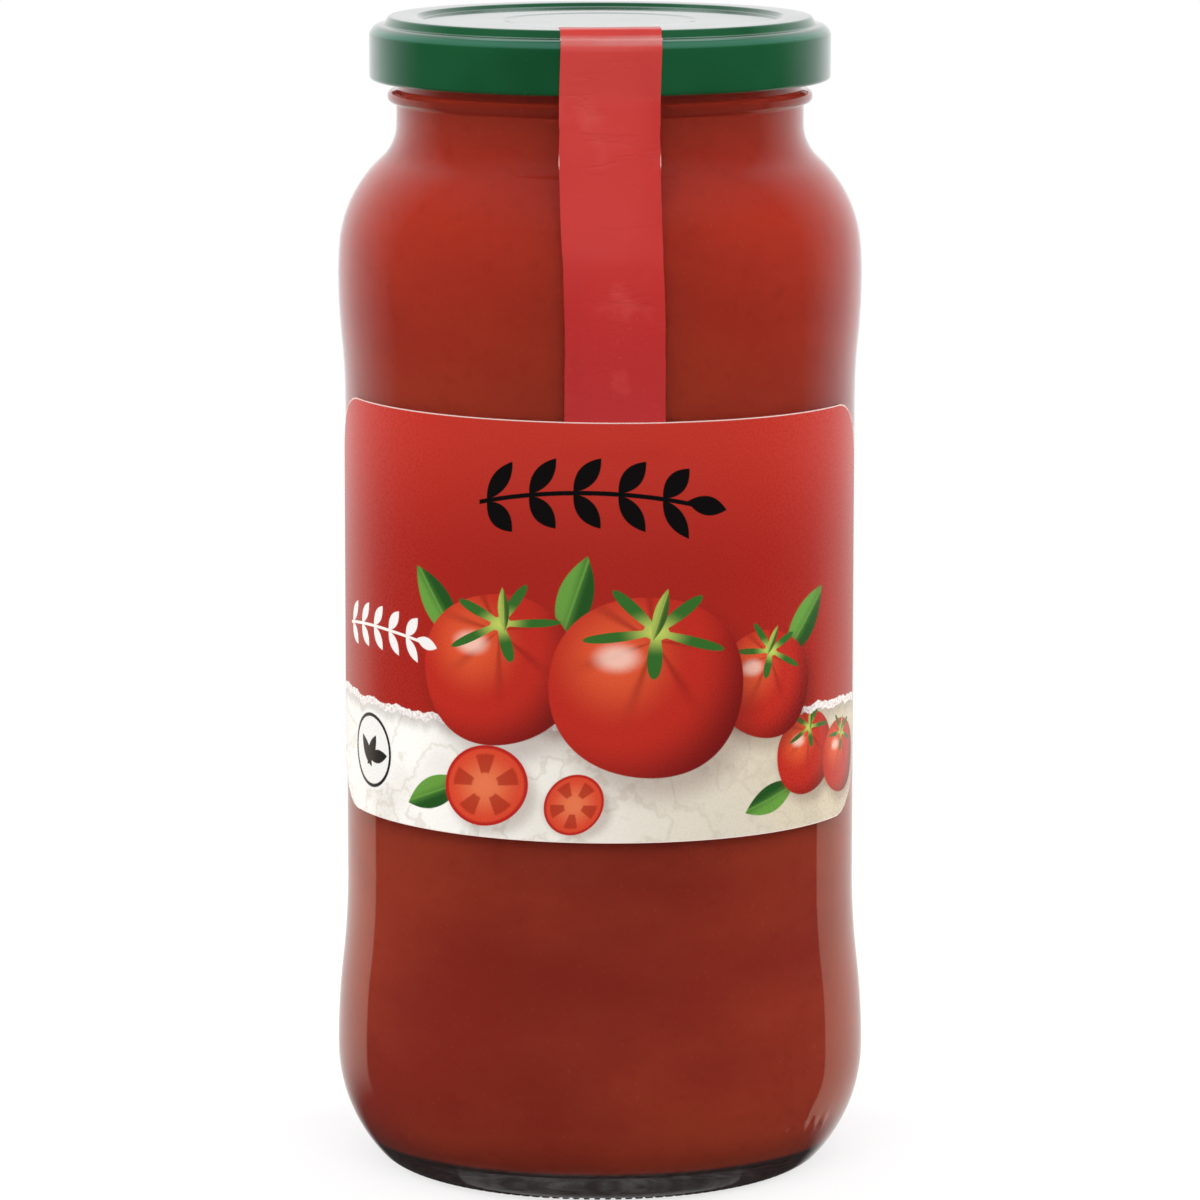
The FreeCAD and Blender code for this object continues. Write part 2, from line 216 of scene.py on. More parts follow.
def beside(corners, distance):
    """The corners of a parallel path, to the left of the first one."""
    ways = [
        (Vector(end[:2]) - Vector(start[:2])).normalized() for start, end in zip(corners, corners[1:])
    ]
    moved = []
    for index, corner in enumerate(corners):
        way_in = ways[max(index - 1, 0)]
        way_out = ways[min(index, len(ways) - 1)]
        left_in = Vector((-way_in.y, way_in.x))
        left_out = Vector((-way_out.y, way_out.x))
        shift = (left_in + left_out) * (distance / (1 + left_in.dot(left_out)))
        turns_right = way_in.x * way_out.y - way_in.y * way_out.x < 0
        rounding = corner[2] + (distance if turns_right else -distance)
        moved.append((corner[0] + shift.x, corner[1] + shift.y, rounding))
    return moved


def ease_curve(low, high, offset):
    """Two equal bows between two radii, upright at both ends, moved inwards by offset."""
    rise = high[1] - low[1]
    step = high[0] - low[0]
    radius = (rise ** 2 + step ** 2) / (4 * abs(step))
    sweep = math.degrees(math.asin(rise / 2 / radius))
    if step > 0:
        lower = bow((low[0] + radius, low[1]), radius + offset, 180, 180 - sweep)
        upper = bow((high[0] - radius, high[1]), radius - offset, -sweep, 0)
    else:
        lower = bow((low[0] - radius, low[1]), radius - offset, 0, sweep)
        upper = bow((high[0] + radius, high[1]), radius + offset, 180 + sweep, 180)
    return [lower, upper]


def heel():
    rise = LOWER_SWELL_Z - FOOT_ARC_R
    radius = (FOOT_INSET ** 2 + rise ** 2 - FOOT_ARC_R ** 2) / (2 * (FOOT_INSET - FOOT_ARC_R))
    centre = (lower_swell_r - radius, LOWER_SWELL_Z)
    end_angle = -math.degrees(math.atan2(rise, foot_outer_r - centre[0]))
    return centre, radius, end_angle


def shoulder():
    """Centres, radii and meeting angles of the swell, shoulder and neck bows."""
    swell_centre = (upper_swell_r - SWELL_ARC_R, upper_swell_z)
    swell_angle = math.degrees(math.asin(SWELL_ARC_HEIGHT / SWELL_ARC_R))
    joint = on_circle(swell_centre, SWELL_ARC_R, swell_angle)
    outward = on_circle((0, 0), 1, swell_angle)
    neck_centre = (neck_r + NECK_FILLET_R, bead_bottom_z - NECK_LAND)
    to_neck = (neck_centre[0] - joint[0], neck_centre[1] - joint[1])
    along = to_neck[0] * outward[0] + to_neck[1] * outward[1]
    square = to_neck[0] ** 2 + to_neck[1] ** 2
    radius = (square - NECK_FILLET_R ** 2) / (2 * (NECK_FILLET_R - along))
    centre = on_circle(joint, -radius, swell_angle)
    neck_angle = math.degrees(math.atan2(neck_centre[1] - centre[1], neck_centre[0] - centre[0]))
    return swell_centre, swell_angle, centre, radius, neck_centre, neck_angle


def upper_side(offset, shoulder_end_angle):
    swell_centre, swell_angle, centre, radius, _, _ = shoulder()
    runs = ease_curve((PANEL_R, panel_top_z), (upper_swell_r, upper_swell_z), offset)
    runs.append(bow(swell_centre, SWELL_ARC_R - offset, 0, swell_angle))
    runs.append(bow(centre, radius - offset, swell_angle, shoulder_end_angle))
    return runs


def side(offset):
    """The whole side from the widest ring up to the neck, moved inwards by offset."""
    _, _, _, _, neck_centre, neck_angle = shoulder()
    radius = PANEL_R - offset
    runs = ease_curve((lower_swell_r, LOWER_SWELL_Z), (PANEL_R, panel_bottom_z), offset)
    runs.append(straight((radius, panel_bottom_z), (radius, panel_top_z)))
    runs += upper_side(offset, neck_angle)
    runs.append(bow(neck_centre, NECK_FILLET_R + offset, 180 + neck_angle, 180))
    return runs


def cavity(offset, floor_lift):
    """The inside from the axis over the floor and up the side to the neck."""
    heel_centre, heel_radius, _ = heel()
    dome_centre = (0, FLOOR_CENTRE_Z + floor_lift - FLOOR_DOME_R)
    corner_r = INNER_HEEL_R - floor_lift
    wall_r = heel_radius - offset
    from_dome = FLOOR_DOME_R + corner_r
    from_heel = wall_r - corner_r
    across = heel_centre[0] - dome_centre[0]
    up = heel_centre[1] - dome_centre[1]
    between = math.hypot(across, up)
    along = (between ** 2 + from_dome ** 2 - from_heel ** 2) / (2 * between)
    aside = math.sqrt(from_dome ** 2 - along ** 2)
    corner = (
        dome_centre[0] + (across * along + up * aside) / between,
        dome_centre[1] + (up * along - across * aside) / between,
    )
    dome_angle = math.degrees(math.atan2(corner[1] - dome_centre[1], corner[0]))
    wall_angle = math.degrees(math.atan2(corner[1] - heel_centre[1], corner[0] - heel_centre[0]))
    runs = [bow(dome_centre, FLOOR_DOME_R, 90, dome_angle)]
    runs.append(bow(corner, corner_r, dome_angle - 180, wall_angle))
    runs.append(bow(heel_centre, wall_r, wall_angle, 0))
    return runs + side(offset)


def lid_corners():
    button_z = inner_panel_z - BUTTON_DEPTH
    return [
        (0, button_z, 0),
        (BUTTON_R - BUTTON_STEP, button_z, RING_ROUND_R),
        (BUTTON_R, inner_panel_z, RING_ROUND_R),
        (ring_inner_r - RING_SLOPE, inner_panel_z, RING_ROUND_R),
        (ring_inner_r, lid_top_z, RING_ROUND_R),
        (ring_outer_r, lid_top_z, RING_ROUND_R),
        (ring_outer_r + RING_SLOPE, lid_panel_z, RING_ROUND_R),
        (lid_r, lid_panel_z - LID_SHOULDER_DROP, LID_SHOULDER_R),
        (lid_r, lid_bottom_z + CURL_R, 0),
    ]


# --- Modelling ---

def start_piece(name):
    """Names the primitive that was just added, puts its place in its mesh and opens it."""
    piece = bpy.context.object
    piece.name = name
    piece.data.name = name
    bpy.ops.object.transform_apply(location=True, rotation=True, scale=True)
    bpy.ops.object.mode_set(mode="EDIT")
    return piece


def draw_section(name, runs, straight_step, bow_step):
    """A new piece in edit mode: one point, extruded and spun along the runs."""
    bpy.ops.object.select_all(action="DESELECT")
    first = runs[0][0]
    bpy.ops.mesh.primitive_plane_add(size=MM, location=(first[0] * MM, 0, first[1] * MM))
    piece = start_piece(name)
    bpy.ops.mesh.select_mode(type="VERT")
    bpy.ops.mesh.merge(type="CENTER")
    for start, end, centre, turn in runs:
        if centre is None:
            length = math.dist(start, end)
            if length < 0.001:
                continue
            steps = max(1, math.ceil(length / straight_step))
            move = ((end[0] - start[0]) * MM / steps, 0, (end[1] - start[1]) * MM / steps)
            for _ in range(steps):
                bpy.ops.mesh.extrude_region_move(TRANSFORM_OT_translate={"value": move})
        else:
            length = math.radians(abs(turn)) * math.dist(start, centre)
            steps = max(2, math.ceil(abs(turn) / 9), math.ceil(length / bow_step))
            bpy.ops.mesh.spin(
                steps=steps, angle=math.radians(abs(turn)), use_auto_merge=False,
                center=(centre[0] * MM, 0, centre[1] * MM), axis=(0, 1 if turn > 0 else -1, 0),
            )
    return piece


def choose_all():
    bpy.ops.mesh.select_all(action="SELECT")


def turn_section(steps, span=360.0):
    """Spins the open section about the jar's axis and closes its seam and poles."""
    choose_all()
    bpy.ops.mesh.spin(steps=steps, angle=math.radians(span), center=(0, 0, 0), axis=(0, 0, -1))
    choose_all()
    bpy.ops.mesh.remove_doubles(threshold=MERGE)
    bpy.ops.mesh.normals_make_consistent(inside=False)


def choose_faces(piece, test):
    """Selects the faces whose middle and normal pass the test."""
    bpy.ops.mesh.select_mode(type="FACE")
    bpy.ops.mesh.select_all(action="DESELECT")
    mesh = bmesh.from_edit_mesh(piece.data)
    for face in mesh.faces:
        face.select_set(test(face.calc_center_median(), face.normal))
    bmesh.update_edit_mesh(piece.data)


def choose_points(piece, test):
    bpy.ops.mesh.select_mode(type="VERT")
    bpy.ops.mesh.select_all(action="DESELECT")
    mesh = bmesh.from_edit_mesh(piece.data)
    for point in mesh.verts:
        point.select_set(test(point.co))
    mesh.select_flush(True)
    bmesh.update_edit_mesh(piece.data)


def cut(place, way, clear=True):
    """Cuts the whole piece along a plane, and clears what lies beyond it."""
    choose_all()
    bpy.ops.mesh.bisect(plane_co=place, plane_no=way, clear_outer=clear)


def turn_about_axis(degrees, pivot=(0, 0, 0), axis="Z"):
    """Turns what is selected by the right-hand rule; without a window the operator turns the other way."""
    bpy.ops.transform.rotate(
        value=-math.radians(degrees), orient_axis=axis, orient_type="GLOBAL", center_override=pivot
    )


def pull_softly(move, reach):
    """Moves what is selected, and takes what lies within reach along."""
    bpy.ops.transform.translate(
        value=move, use_proportional_edit=True, proportional_edit_falloff="SMOOTH", proportional_size=reach
    )


def finish_piece(piece, smooth_angle=35.0):
    bpy.ops.object.mode_set(mode="OBJECT")
    bpy.ops.object.shade_smooth_by_angle(angle=math.radians(smooth_angle))
    return piece


def apply_modifier(piece, name, kind, **settings):
    modifier = piece.modifiers.new(name, kind)
    for key, value in settings.items():
        setattr(modifier, key, value)
    bpy.ops.object.modifier_apply(modifier=name)


def azimuth_of(place):
    return math.degrees(math.atan2(place.y, place.x)) % 360


def make_jar():
    heel_centre, heel_radius, heel_end = heel()
    neck_centre = shoulder()[4]
    push_up_r = foot_inner_r - PUSH_UP_BEVEL
    drop = PUSH_UP_CENTRE_Z - PUSH_UP_EDGE_Z
    dome_r = (push_up_r ** 2 + drop ** 2) / (2 * drop)
    dome_end = math.degrees(math.acos(push_up_r / dome_r))
    runs = [bow((0, PUSH_UP_CENTRE_Z - dome_r), dome_r, 90, dome_end)]
    runs.append(straight((push_up_r, PUSH_UP_EDGE_Z), (foot_inner_r, 0)))
    runs.append(straight((foot_inner_r, 0), (foot_outer_r, 0)))
    runs.append(bow((foot_outer_r, FOOT_ARC_R), FOOT_ARC_R, -90, heel_end))
    runs.append(bow(heel_centre, heel_radius, heel_end, 0))
    runs += side(0)
    runs += rounded([
        (neck_r, neck_centre[1]),
        (neck_r, bead_bottom_z, MOUTH_ROUND_R / 2),
        (FINISH_R + BEAD_STEP, bead_bottom_z + FLANGE_SLOPE, FLANGE_ROUND_R),
        (FINISH_R + BEAD_STEP, flange_top_z, FLANGE_ROUND_R),
        (FINISH_R - GROOVE_DEPTH, flange_top_z + FLANGE_SLOPE, MOUTH_ROUND_R / 2),
        (FINISH_R - GROOVE_DEPTH, flange_top_z + GROOVE_HEIGHT, MOUTH_ROUND_R),
        (FINISH_R, flange_top_z + GROOVE_HEIGHT + GROOVE_DEPTH, MOUTH_ROUND_R),
        (FINISH_R, JAR_HEIGHT, LIP_ROUND_R),
        (bore_r, JAR_HEIGHT, LIP_ROUND_R),
        (bore_r, neck_centre[1]),
    ])
    runs += backwards(cavity(WALL, 0))
    jar = draw_section("glass_jar_shell", runs, 3.0, 1.3)
    turn_section(JAR_STEPS)

    # Ribs of the bearing ring: every other face between them is pressed up into the glass.
    def between_ribs(middle, normal):
        radius = middle.xy.length / MM
        on_ring = middle.z < RIB_TOP_Z * MM and foot_inner_r < radius
        return on_ring and int(azimuth_of(middle) / 360 * JAR_STEPS) % 2 == 0

    choose_faces(jar, between_ribs)
    bpy.ops.mesh.inset(thickness=RIB_MARGIN * MM, depth=-RIB_DEPTH * MM)

    # Moulded dots low on the side, in short rows: two faces to a dot and one between.
    def in_dot_rows(middle, normal):
        low, high = DOT_BAND_Z
        if not (low * MM < middle.z < high * MM) or middle.xy.length < DOT_BAND_R * MM:
            return False
        step = int(azimuth_of(middle) / 360 * JAR_STEPS)
        for start, count in DOT_ROWS:
            first = int((start % 360) / 360 * JAR_STEPS)
            if first <= step < first + 3 * count and (step - first) % 3 < 2:
                return True
        return False

    choose_faces(jar, in_dot_rows)
    bpy.ops.mesh.inset(thickness=DOT_MARGIN * MM, depth=DOT_HEIGHT * MM)
    return finish_piece(jar, 50)


def make_threads():
    """Sloping ridges on the mouth: one is modelled, and the rest are copies of it."""
    root = FINISH_R - THREAD_ROUND_R
    crest = THREAD_HEIGHT / 4
    foot = THREAD_HEIGHT / 2
    middle = JAR_HEIGHT - THREAD_DROP
    corners = [
        (root, middle - foot, 0), (thread_r, middle - crest, THREAD_ROUND_R),
        (thread_r, middle + crest, THREAD_ROUND_R), (root, middle + foot, 0),
    ]
    pieces = []
    for index in range(THREAD_COUNT):
        if index == 0:
            ridge = draw_section("glass_thread_1", rounded(corners), 1.0, 1.0)
            choose_all()
            bpy.ops.mesh.edge_face_add()
            bpy.ops.mesh.spin(
                steps=40, angle=math.radians(THREAD_SPAN), center=(0, 0, 0), axis=(0, 0, -1)
            )
            choose_all()
            bpy.ops.mesh.normals_make_consistent(inside=False)
            turn_about_axis(-THREAD_SPAN / 2)
            turn_about_axis(THREAD_SLOPE, (0, 0, middle * MM), "X")
            turn_about_axis(180 / THREAD_COUNT)
            finish_piece(ridge)
        else:
            bpy.ops.object.select_all(action="DESELECT")
            pieces[0].select_set(True)
            bpy.context.view_layer.objects.active = pieces[0]
            bpy.ops.object.duplicate(linked=False)
            ridge = bpy.context.object
            ridge.name = "glass_thread_%d" % (index + 1)
            ridge.data.name = ridge.name
            bpy.ops.object.mode_set(mode="EDIT")
            choose_all()
            turn_about_axis(360 / THREAD_COUNT * index)
            bpy.ops.object.mode_set(mode="OBJECT")
        pieces.append(ridge)
    return pieces


def make_sauce():
    neck_centre = shoulder()[4]
    level = JAR_HEIGHT - HEADSPACE
    radius = bore_r + SAUCE_REACH
    runs = cavity(WALL - SAUCE_REACH, -SAUCE_REACH)
    runs.append(straight((radius, neck_centre[1]), (radius, level)))
    runs.append(straight((radius, level), (0, level)))
    sauce = draw_section("tomato_sauce_fill", runs, 4.0, 2.0)
    turn_section(192)
    return finish_piece(sauce)


def make_lid():
    curl_centre = (lid_r - CURL_R, lid_bottom_z + CURL_R)
    curl_inner_r = CURL_R - LID_THICKNESS
    outer = lid_corners()
    inner = beside(outer, -LID_THICKNESS)
    runs = rounded(outer)
    runs.append(bow(curl_centre, CURL_R, 0, -CURL_TURN))
    tip = [on_circle(curl_centre, radius, -CURL_TURN) for radius in (CURL_R, curl_inner_r)]
    runs.append(straight(*tip))
    runs.append(bow(curl_centre, curl_inner_r, -CURL_TURN, 0))
    runs += backwards(rounded(inner))
    lid = draw_section("green_lid_cap", runs, 2.5, 0.5)
    turn_section(224)

    # Lugs: parts of the curl's inner side pulled in under the threads.
    def at_lug(middle, normal):
        from_rim = lid_r - middle.xy.length / MM
        height = middle.z / MM - lid_bottom_z
        in_band = LUG_BAND_IN[0] < from_rim < LUG_BAND_IN[1] and LUG_BAND_UP[0] < height < LUG_BAND_UP[1]
        if not in_band:
            return False
        inwards = -(normal.x * middle.x + normal.y * middle.y) / middle.xy.length
        turn = azimuth_of(middle) % (360 / THREAD_COUNT)
        return inwards > 0.8 and turn < LUG_SPAN

    choose_faces(lid, at_lug)
    bpy.ops.mesh.extrude_region_shrink_fatten(TRANSFORM_OT_shrink_fatten={"value": LUG_REACH * MM})
    bpy.ops.transform.resize(value=(1, 1, LUG_FLATNESS), center_override=(0, 0, curl_centre[1] * MM))
    return finish_piece(lid)


def make_strip():
    _, swell_angle, centre, radius, _, _ = shoulder()
    on_lid = [(ring_inner_r - RING_SLOPE - STRIP_ON_LID, inner_panel_z, 0)]
    on_lid += lid_corners()[3:8]
    on_lid.append((lid_r, lid_bottom_z, STRIP_BEND_R))
    edge = (lid_r - centre[0], lid_bottom_z - centre[1])
    bearing = math.degrees(math.atan2(edge[1], edge[0]))
    landing = bearing - math.degrees(math.acos(radius / math.hypot(*edge)))
    on_lid.append(on_circle(centre, radius, landing) + (0,))
    runs = rounded(beside(on_lid, PAPER_GAP))
    runs += backwards(upper_side(-PAPER_GAP, landing))
    end_r = PANEL_R + PAPER_GAP
    runs.append(straight((end_r, panel_top_z), (end_r, label_top_z - STRIP_TUCK)))
    strip = draw_section("red_seal_strip", runs, 0.8, 0.8)
    turn_section(60, 2 * STRIP_HALF_SPAN)
    turn_about_axis(FRONT - STRIP_HALF_SPAN)
    half_width = STRIP_WIDTH / 2 * MM
    border = half_width - STRIP_BORDER * MM
    start_y = -(ring_inner_r - RING_SLOPE - STRIP_ON_LID + STRIP_THICKNESS) * MM
    for place, way in (
        ((half_width, 0, 0), (1, 0, 0)), ((-half_width, 0, 0), (-1, 0, 0)), ((0, start_y, 0), (0, 1, 0))
    ):
        cut(place, way)
    # A hair's breadth of unprinted paper shows along both sides.
    for side_x in (-border, border):
        cut((side_x, 0, 0), (1, 0, 0), False)
    choose_faces(strip, lambda middle, normal: abs(middle.x) > border)
    for face in bmesh.from_edit_mesh(strip.data).faces:
        if face.select:
            face.material_index = 1
    choose_all()
    turn_about_axis(STRIP_AZIMUTH)
    # The strip was laid by hand: it bows a little to the left below the lid.
    choose_points(strip, lambda place: STRIP_BOW_Z[0] * MM < place.z < STRIP_BOW_Z[1] * MM)
    pull_softly((-STRIP_BOW * MM, 0, 0), STRIP_BOW_REACH * MM)
    bpy.ops.object.mode_set(mode="OBJECT")
    ripple = bpy.data.textures.new("paper_ripple", "CLOUDS")
    ripple.noise_scale = RIPPLE_LENGTH * MM
    ripple.noise_depth = 1
    apply_modifier(
        strip, "ripple", "DISPLACE", texture=ripple, texture_coords="LOCAL",
        strength=RIPPLE_HEIGHT * MM, mid_level=0.3,
    )
    apply_modifier(
        strip, "paper", "SOLIDIFY", thickness=STRIP_THICKNESS * MM, offset=1.0, use_rim=True,
        use_even_offset=True, material_offset_rim=1,
    )
    bpy.ops.object.shade_smooth_by_angle(angle=math.radians(40))
    return strip


def make_label():
    bpy.ops.object.select_all(action="DESELECT")
    bpy.ops.mesh.primitive_grid_add(
        x_subdivisions=LABEL_GRID[0], y_subdivisions=LABEL_GRID[1], size=1,
        rotation=(math.radians(90), 0, 0),
    )
    label = start_piece("paper_label")
    choose_all()
    bpy.ops.transform.resize(value=(LABEL_WIDTH * MM, 1, LABEL_HEIGHT * MM), center_override=(0, 0, 0))
    # Corners are rounded with cuts along the tangents of a quarter circle.
    to_centre = Vector((LABEL_WIDTH / 2 - LABEL_CORNER_R, 0, LABEL_HEIGHT / 2 - LABEL_CORNER_R))
    for across in (-1, 1):
        for up in (-1, 1):
            centre = Vector((across, 0, up)) * to_centre
            for index in range(LABEL_CORNER_CUTS):
                turn = math.radians(90 * (index + 0.5) / LABEL_CORNER_CUTS)
                way = Vector((across * math.cos(turn), 0, up * math.sin(turn)))
                cut((centre + way * LABEL_CORNER_R) * MM, way)
    # The paper rises over the end of the strip.
    strip_x = math.radians(STRIP_AZIMUTH - LABEL_AZIMUTH) * PANEL_R

    def over_strip(place):
        beside_it = abs(place.x / MM - strip_x) < LABEL_RISE_HALF_WIDTH
        return beside_it and place.z / MM > LABEL_HEIGHT / 2 - STRIP_TUCK

    choose_points(label, over_strip)
    pull_softly((0, -LABEL_RISE * MM, 0), LABEL_RISE_REACH * MM)
    choose_all()
    turn_about_axis(LABEL_TILT, (0, 0, 0), "Y")
    bpy.ops.object.mode_set(mode="OBJECT")
    inner_r = PANEL_R + PAPER_GAP
    apply_modifier(
        label, "wrap", "SIMPLE_DEFORM", deform_method="BEND", deform_axis="Z", angle=LABEL_WIDTH / inner_r
    )
    apply_modifier(
        label, "paper", "SOLIDIFY", thickness=LABEL_THICKNESS * MM, offset=1.0, use_rim=True,
        material_offset_rim=1,
    )
    bpy.ops.object.mode_set(mode="EDIT")
    choose_all()
    bpy.ops.transform.translate(value=(0, -inner_r * MM, label_middle_z * MM))
    turn_about_axis(LABEL_AZIMUTH)
    bpy.ops.object.mode_set(mode="OBJECT")
    bpy.ops.object.shade_smooth_by_angle(angle=math.radians(40))
    return label


# --- Finishes ---

def tint(red, green, blue):
    """A colour written as on a paint chart, 0 to 255, for a shader."""
    parts = []
    for part in (red / 255, green / 255, blue / 255):
        parts.append(part / 12.92 if part <= 0.04045 else ((part + 0.055) / 1.055) ** 2.4)
    return (*parts, 1.0)


def new_finish(name):
    finish = bpy.data.materials.new(name)
    finish.use_nodes = True
    return finish, finish.node_tree, finish.node_tree.nodes["Principled BSDF"]


def give(tree, socket, value):
    if isinstance(value, bpy.types.NodeSocket):
        tree.links.new(value, socket)
    else:
        socket.default_value = value


def fill_in(tree, node, inputs):
    for key, value in inputs.items():
        give(tree, node.inputs[key], value)


def put(tree, kind, inputs, **settings):
    node = tree.nodes.new(kind)
    for key, value in settings.items():
        setattr(node, key, value)
    fill_in(tree, node, inputs)
    return node


def calc(tree, operation, *values):
    return put(tree, "ShaderNodeMath", dict(enumerate(values)), operation=operation).outputs[0]


def times(tree, value, other):
    return calc(tree, "MULTIPLY", value, other)


def minus(tree, value, other):
    return calc(tree, "SUBTRACT", value, other)


def apart(tree, value, other):
    """How far two values lie from each other."""
    return calc(tree, "ABSOLUTE", minus(tree, value, other))


def part_of(tree, vector, axis):
    return put(tree, "ShaderNodeSeparateXYZ", {"Vector": vector}).outputs[axis]


def over(tree, under, colour, share):
    """Lays a colour over another one, where share is 1."""
    node = put(tree, "ShaderNodeMix", {0: share, 6: under, 7: colour}, data_type="RGBA")
    return node.outputs[2]


def spread(tree, value, low, high, first=0.0, last=1.0, kind="SMOOTHSTEP"):
    inputs = {"Value": value, "From Min": low, "From Max": high, "To Min": first, "To Max": last}
    return put(tree, "ShaderNodeMapRange", inputs, interpolation_type=kind).outputs["Result"]


def cloud(tree, place, scale, detail=2.0, stretch=None):
    if stretch:
        place = put(tree, "ShaderNodeMapping", {"Vector": place, "Scale": stretch}).outputs["Vector"]
    inputs = {"Vector": place, "Scale": scale, "Detail": detail}
    return put(tree, "ShaderNodeTexNoise", inputs, noise_dimensions="3D").outputs[0]


def object_place(tree):
    return tree.nodes.new("ShaderNodeTexCoord").outputs["Object"]


def relief(tree, shader, height, strength, distance):
    bump = put(tree, "ShaderNodeBump", {"Height": height, "Strength": strength, "Distance": distance})
    tree.links.new(bump.outputs["Normal"], shader.inputs["Normal"])


def glass_finish():
    finish, tree, shader = new_finish("clear_jar_glass")
    place = object_place(tree)
    colour = over(tree, (0.95, 0.985, 0.965, 1), (0.985, 1.0, 0.99, 1), cloud(tree, place, 14))
    fill_in(tree, shader, {
        "Base Color": colour,
        "Roughness": spread(tree, cloud(tree, place, 40, 3), 0.3, 0.7, 0.0, 0.012),
        "IOR": 1.52,
        "Transmission Weight": 1.0,
    })
    relief(tree, shader, cloud(tree, place, 55, 1, (1, 1, 0.35)), 0.12, 0.0004)
    return finish


# Heights in metres between which a colour changes. Every change here is painted light: the sauce and the
# strip get lighter towards the top, the sauce in the neck is toned duller and more orange, and the strip is
# darker below the lid's edge than on the skirt.
LOWER_SAUCE_END, UPPER_SAUCE_START = 0.085, 0.155
NECK_SAUCE = (0.143, 0.152)
STRIP_END, STRIP_MIDDLE = 0.108, 0.145
STRIP_ON_SKIRT = (0.1555, 0.1585)


def sauce_finish():
    finish, tree, shader = new_finish("cooked_tomato_sauce")
    place = object_place(tree)
    drift = cloud(tree, place, 26, 4, (0.8, 0.8, 1.6))
    pulp = cloud(tree, place, 520, 3)
    fleck = cloud(tree, place, 1500, 1)
    height = part_of(tree, place, "Z")
    # Painted light: the sauce is lighter towards the top, where more light falls from above.
    painted_light_from_above = spread(tree, height, LOWER_SAUCE_END, UPPER_SAUCE_START)
    darker = over(tree, tint(172, 54, 39), tint(199, 53, 38), painted_light_from_above)
    lighter = over(tree, tint(198, 75, 48), tint(212, 62, 41), painted_light_from_above)
    colour = over(tree, darker, lighter, spread(tree, drift, 0.32, 0.68))
    # Painted light and shade: the sauce in the neck is toned duller and more orange, standing in for how it
    # is lit there.
    colour = over(tree, colour, tint(188, 74, 50), spread(tree, height, *NECK_SAUCE, 0.0, 0.45))
    colour = over(tree, colour, tint(172, 46, 34), spread(tree, pulp, 0.52, 0.76, 0.0, 0.22))
    colour = over(tree, colour, tint(218, 98, 62), spread(tree, fleck, 0.64, 0.8, 0.0, 0.2))
    # Little light gets in under the sauce, through the foot of the jar.
    outwards = tree.nodes.new("ShaderNodeNewGeometry").outputs["Normal"]
    facing_up = part_of(tree, outwards, "Z")
    colour = over(tree, tint(66, 36, 33), colour, spread(tree, facing_up, -0.97, -0.9))
    fill_in(tree, shader, {
        "Base Color": colour,
        "Roughness": spread(tree, pulp, 0.3, 0.7, 0.35, 0.55),
        "IOR": 1.36,
        "Specular IOR Level": 0.1,
    })
    relief(tree, shader, pulp, 0.3, 0.0002)
    return finish


def lid_finish():
    finish, tree, shader = new_finish("green_lid_enamel")
    place = object_place(tree)
    drift = cloud(tree, place, 60, 2)
    speck = cloud(tree, place, 1800, 2)
    colour = over(tree, tint(17, 70, 38), tint(24, 82, 46), spread(tree, drift, 0.3, 0.7))
    colour = over(tree, colour, tint(44, 116, 74), spread(tree, speck, 0.68, 0.8, 0.0, 0.25))
    # Painted highlight: the enamel is paler in a band round the shoulder, for the reflection of the light
    # from above.
    height = part_of(tree, place, "Z")
    from_shoulder = apart(tree, height, (lid_panel_z - LID_SHOULDER_R / 2) * MM)
    lid_painted_highlight = spread(tree, from_shoulder, 0.6 * MM, 0.2 * MM, 0.0, 0.4)
    colour = over(tree, colour, tint(84, 138, 120), lid_painted_highlight)
    fill_in(tree, shader, {
        "Base Color": colour,
        "Roughness": spread(tree, drift, 0.25, 0.75, 0.08, 0.14),
        "Coat Weight": 0.5,
        "Coat Roughness": 0.02,
        "Specular IOR Level": 0.5,
        "Specular Tint": (0.35, 0.8, 1.0, 1),
    })
    relief(tree, shader, cloud(tree, place, 500, 1), 0.03, 0.00005)
    return finish


def paper_edge_finish():
    finish, tree, shader = new_finish("cut_paper_edge")
    fibre = cloud(tree, object_place(tree), 2500, 2)
    fill_in(tree, shader, {
        "Base Color": over(tree, tint(216, 128, 120), tint(240, 196, 188), fibre),
        "Roughness": spread(tree, fibre, 0.2, 0.8, 0.7, 0.9),
    })
    relief(tree, shader, fibre, 0.2, 0.00004)
    return finish


